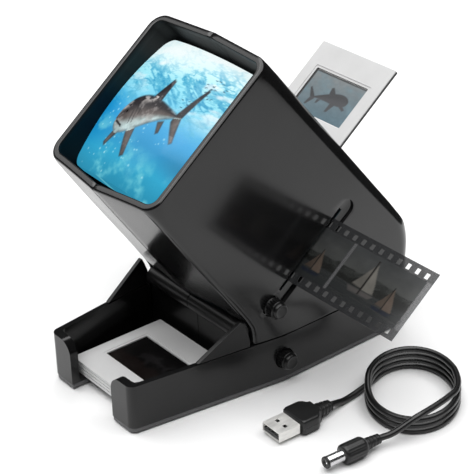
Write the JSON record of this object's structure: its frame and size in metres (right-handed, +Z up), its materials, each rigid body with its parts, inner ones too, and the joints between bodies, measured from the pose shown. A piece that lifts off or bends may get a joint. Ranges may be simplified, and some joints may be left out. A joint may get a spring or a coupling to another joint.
{
  "type": "slide viewer",
  "caption": "Tilted self-lit slide and film viewer with a big magnifier lens, a top slide slot, a side film slot, a slide tray and a coiled USB power lead.",
  "frame": {"origin": "on the table, at the centre of the viewer's footprint (lead left out)", "axes": "+X to the side that carries the knobs, -Y to the front of the slide tray, +Z up"},
  "size_m": [0.2218, 0.1616, 0.1595],
  "materials": {
    "black_gloss": "satin gloss",
    "black_inner": "matt",
    "knob_black": "satin",
    "lens_clear": "polished clear acrylic",
    "slide_mount": "satin",
    "slide_film": "gloss film",
    "film_base": "gloss film",
    "opal": "translucent opal",
    "white_inner": "matt white",
    "board": "solder mask",
    "led": "clear resin with phosphor",
    "steel": "plated",
    "cell": "printed sleeve",
    "rubber_foot": "matt",
    "cord_black": "satin PVC"
  },
  "bodies": {
    "viewer": {"base_shell": "black_gloss", "bottom_plate": "black_gloss", "chute_left": "black_gloss", "chute_right": "black_gloss", "hood_left": "black_gloss", "hood_right": "black_gloss", "lens_frame": "black_inner", "slide_guide_front": "black_inner", "slide_guide_rear": "black_inner", "film_gate": "black_inner", "battery_cradle": "black_inner", "power_switch": "black_inner", "dc_jack": "black_inner", "magnifier_lens": "lens_clear", "diffuser": "opal", "light_box": "white_inner", "led_board": "board", "led_1": "led", "led_2": "led", "led_3": "led", "release_spring": "steel", "pressure_spring_top": "steel", "pressure_spring_bottom": "steel", "contact_plate_left": "steel", "contact_plate_right": "steel", "base_screw_1": "steel", "base_screw_2": "steel", "base_screw_3": "steel", "base_screw_4": "steel", "case_screw_1": "steel", "case_screw_2": "steel", "case_screw_3": "steel", "usb_plug_shell": "steel", "dc_plug_barrel": "steel", "battery_1": "cell", "battery_2": "cell", "battery_3": "cell", "foot_1": "rubber_foot", "foot_2": "rubber_foot", "foot_3": "rubber_foot", "foot_4": "rubber_foot", "usb_plug_grip": "cord_black", "dc_plug_grip": "cord_black", "dc_plug_tip": "cord_black", "cord_usb_tail": "cord_black", "cord_coil": "cord_black", "cord_dc_tail": "cord_black"},
    "release": {"release_knob": "knob_black"},
    "power": {"power_button": "knob_black"},
    "door": {"battery_door": "black_gloss"},
    "loaded_slide": {"loaded_slide_mount": "slide_mount", "loaded_slide_image": "slide_film"},
    "film": {"film_strip": "film_base"},
    "pressure_plate": {"film_pressure_plate": "black_inner"},
    "tray_1": {"tray_slide_1": "slide_mount"},
    "tray_2": {"tray_slide_2": "slide_mount"},
    "tray_3": {"tray_slide_3": "slide_mount"},
    "tray_4": {"tray_slide_4": "slide_mount", "tray_slide_image": "slide_film"}
  },
  "joints": [
    {"name": "slide_feed", "type": "slide", "parent": "viewer", "child": "loaded_slide", "axis": [0, -0.7881, -0.6155], "range_m": [0, 0.065]},
    {"name": "film_feed", "type": "slide", "parent": "viewer", "child": "film", "axis": [1, 0, 0], "range_m": [-0.076, 0.076]},
    {"name": "release_pull", "type": "slide", "parent": "viewer", "child": "release", "axis": [1, 0, 0], "range_m": [0, 0.006], "stiffness_N_per_m": 250},
    {"name": "power_press", "type": "slide", "parent": "viewer", "child": "power", "axis": [-1, 0, 0], "range_m": [0, 0.002], "stiffness_N_per_m": 700},
    {"name": "pressure_plate_give", "type": "slide", "parent": "viewer", "child": "pressure_plate", "axis": [0, 0.6155, -0.7881], "range_m": [0, 0.0004], "stiffness_N_per_m": 600},
    {"name": "door_slide", "type": "slide", "parent": "viewer", "child": "door", "axis": [0, 1, 0], "range_m": [0, 0.04]},
    {"name": "tray_lift_1", "type": "slide", "parent": "viewer", "child": "tray_1", "axis": [0, 0, 1], "range_m": [0, 0.0035]},
    {"name": "tray_lift_2", "type": "slide", "parent": "tray_1", "child": "tray_2", "axis": [0, 0, 1], "range_m": [0, 0.0035]},
    {"name": "tray_lift_3", "type": "slide", "parent": "tray_2", "child": "tray_3", "axis": [0, 0, 1], "range_m": [0, 0.0035]},
    {"name": "tray_lift_4", "type": "slide", "parent": "tray_3", "child": "tray_4", "axis": [0, 0, 1], "range_m": [0, 0.0035]}
  ]
}
